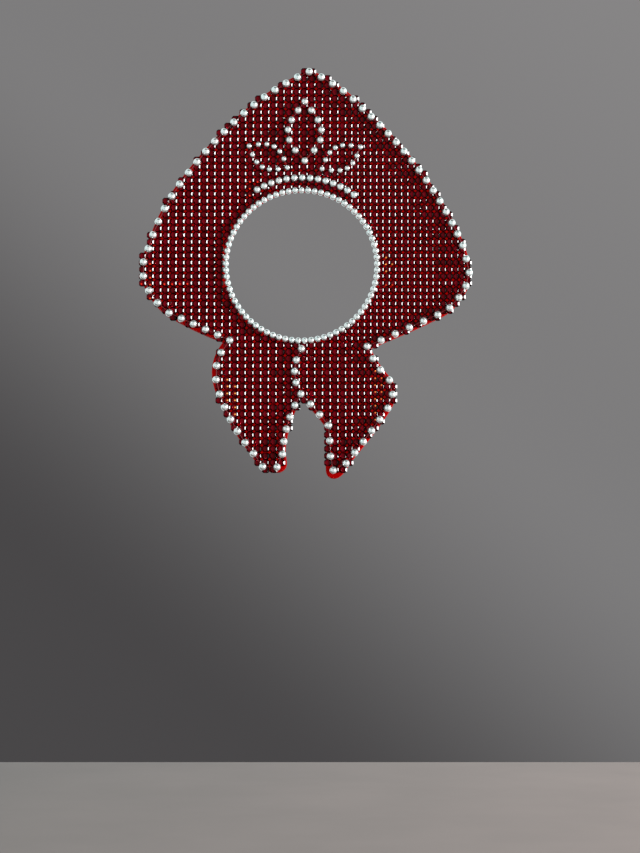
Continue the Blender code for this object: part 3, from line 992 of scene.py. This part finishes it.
random = np.random.default_rng(pearls["seed"])
for name, node, places, size, closed, thread in (
        ("borderPearls", "pearl_border", walkPlan(lambda steps, length: steps), "border",
         True, redThread),
        ("ringPearls", "face_ring", ringLoop(), "ring", True, paleThread),
        ("bandPearls", "crown_arc", arcPlaces(), "crown", False, redThread),
        ("dropPearls", "crown_drop", dropLoop(), "crown", True, redThread),
        ("leftLeafPearls", "crown_leaf_left", sideLeafLoop(-1), "leaf", True, redThread),
        ("rightLeafPearls", "crown_leaf_right", sideLeafLoop(1), "leaf", True, redThread),
        ("partingPearls", "parting_strand", partingPlaces(), "border", False, redThread)):
    makeString(name, node, places, pearls[size], closed, thread, random)

# Studio: pale table with a straight back edge, one strong softbox low on the right

studio = {
    "tableHeight": -0.217,
    "tableBackEdge": 0.243,
    "tableFrontEdge": -0.140,
    "tableReach": 1.5,
    "tableThickness": 0.02,
    "tableRounding": 0.002,
    "tableDeep": (0.272, 0.195, 0.180, 1.0),
    "tableLight": (0.310, 0.223, 0.206, 1.0),
    "tablePaintedShade": (-0.2, 0.2), "tablePaintedShadeTone": 0.47,    # painted shade: darker from the second x to the first
    "keyAngle": 79.0,        # degrees from the front towards the right
    "keyRise": 8.0,          # degrees
    "keyDistance": 1.5,
    "keyWidth": 0.45,
    "keyHeight": 0.56,
    "keyRadiance": 38.0,
    "keyColour": (1.0, 1.0, 1.0),
    "room": (0.82, 0.95, 0.95, 1.0),
    # patches of the room that the object sees: way to it, colour, and the angles in degrees
    # from that way at which the patch begins to fade and is gone
    "roomPatches": (
        ((0.97, -0.26, 0.0), (1.60, 1.58, 1.54, 1.0), 15, 58),
        ((0.08, -0.98, -0.17), (0.64, 0.57, 0.56, 1.0), 8, 42),
        ((0.34, -0.72, 0.60), (0.56, 0.65, 0.64, 1.0), 8, 24),
        ((0.15, -0.25, 0.95), (0.0, 0.02, 0.01, 1.0), 26, 45),
    ),
    # the grey backdrop grows lighter up a slope: each colour and where it begins and is full
    "backdrop": (0.066, 0.063, 0.065, 1.0),
    "backdropSlope": (0.8, 0.0, 1.0),
    "backdropRises": (
        ((0.207, 0.203, 0.205, 1.0), -0.10, 0.10),
        ((0.243, 0.237, 0.239, 1.0), 0.12, 0.34),
    ),
}


def makeTable():
    # A slab with softened edges, given by its eight corners
    height, back, reach = studio["tableHeight"], studio["tableBackEdge"], studio["tableReach"]
    low, front = height - studio["tableThickness"], studio["tableFrontEdge"]
    points = np.array([(x, y, z) for z in (low, height) for x, y in (
        (-reach, front), (reach, front), (reach, back), (-reach, back))])
    faces = np.array(((0, 3, 2, 1), (4, 5, 6, 7), (0, 1, 5, 4), (1, 2, 6, 5), (2, 3, 7, 6),
                      (3, 0, 4, 7)))
    table = makePiece("studioTable", points, [faces], False)
    soften = table.modifiers.new("softEdge", "BEVEL")
    soften.width = studio["tableRounding"]
    soften.segments = 3
    material, tree, shader, place = newMaterial("paleTable", {"Roughness": 0.55})
    tone = useGroup(tree, unevenDye, place, {
        "Patches per Metre": 14.0, "Deep": studio["tableDeep"],
        "Light": studio["tableLight"]})
    # Painted shade: darker towards the left, away from the softbox
    parts = addNode(tree, "ShaderNodeSeparateXYZ")
    paintedLeftShade = addNode(tree, "ShaderNodeMapRange", {
        "From Min": studio["tablePaintedShade"][0], "From Max": studio["tablePaintedShade"][1],
        "To Min": studio["tablePaintedShadeTone"], "To Max": 1.0})
    shaded = addNode(tree, "ShaderNodeVectorMath", operation="SCALE")
    tree.links.new(place, parts.inputs["Vector"])
    wire(tree,
         (parts, "X", paintedLeftShade, "Value"),
         (tone, "Color", shaded, 0),
         (paintedLeftShade, "Result", shaded, "Scale"),
         (shaded, "Vector", shader, "Base Color"))
    table.data.materials.append(material)


def makeSoftbox(name):
    # A flat light that faces the origin, from an angle right of the front and a rise above it
    around, up = math.radians(studio["keyAngle"]), math.radians(studio["keyRise"])
    width, height = studio["keyWidth"], studio["keyHeight"]
    direction = mathutils.Vector((math.sin(around) * math.cos(up),
                                  -math.cos(around) * math.cos(up), math.sin(up)))
    light = bpy.data.lights.new(name, "AREA")
    light.shape = "RECTANGLE"
    light.size, light.size_y = width, height
    light.energy = studio["keyRadiance"] * math.pi * width * height
    light.color = studio["keyColour"]
    holder = bpy.data.objects.new(name, light)
    holder.location = direction * studio["keyDistance"]
    holder.rotation_euler = direction.to_track_quat("Z", "Y").to_euler()
    holder.visible_camera = False
    bpy.context.scene.collection.objects.link(holder)


def makeWorld():
    # The camera sees a plain grey backdrop; the object sees a dim room, brighter in front
    world = bpy.data.worlds.new("studioRoom")
    bpy.context.scene.world = world
    world.use_nodes = True
    tree = world.node_tree
    tree.nodes.clear()
    out = addNode(tree, "ShaderNodeOutputWorld")
    way = addNode(tree, "ShaderNodeTexCoord").outputs["Generated"]

    def rise(direction, low, high):
        # From 0 to 1 as the way's share along the direction goes from low to high
        dot = addNode(tree, "ShaderNodeVectorMath", operation="DOT_PRODUCT")
        dot.inputs[1].default_value = mathutils.Vector(direction).normalized()
        fall = addNode(tree, "ShaderNodeMapRange", {"From Min": low, "From Max": high},
                       interpolation_type="SMOOTHSTEP")
        tree.links.new(way, dot.inputs[0])
        tree.links.new(dot.outputs["Value"], fall.inputs["Value"])
        return fall.outputs["Result"]

    def lobe(direction, inner, outer):
        # 1 within the inner angle of the direction, falling to 0 at the outer one
        return rise(direction, math.cos(math.radians(outer)), math.cos(math.radians(inner)))

    def mixTo(base, colour, factor):
        mix = addNode(tree, "ShaderNodeMix", data_type="RGBA")
        if isinstance(base, tuple):
            mix.inputs["A"].default_value = base
        else:
            tree.links.new(base, mix.inputs["A"])
        mix.inputs["B"].default_value = colour
        tree.links.new(factor, mix.inputs["Factor"])
        return mix.outputs["Result"]

    room = studio["room"]
    for direction, colour, inner, outer in studio["roomPatches"]:
        room = mixTo(room, colour, lobe(direction, inner, outer))
    shade = studio["backdrop"]
    for colour, low, high in studio["backdropRises"]:
        shade = mixTo(shade, colour, rise(studio["backdropSlope"], low, high))
    light = addNode(tree, "ShaderNodeBackground")
    backdrop = addNode(tree, "ShaderNodeBackground")
    path = addNode(tree, "ShaderNodeLightPath")
    pick = addNode(tree, "ShaderNodeMixShader")
    tree.links.new(room, light.inputs["Color"])
    tree.links.new(shade, backdrop.inputs["Color"])
    wire(tree,
         (path, "Is Camera Ray", pick, "Fac"),
         (light, "Background", pick, 1),
         (backdrop, "Background", pick, 2),
         (pick, "Shader", out, "Surface"))


makeTable()
makeWorld()
makeSoftbox("keySoftbox")
bpy.context.scene.view_settings.view_transform = "Standard"
print("studio ready")
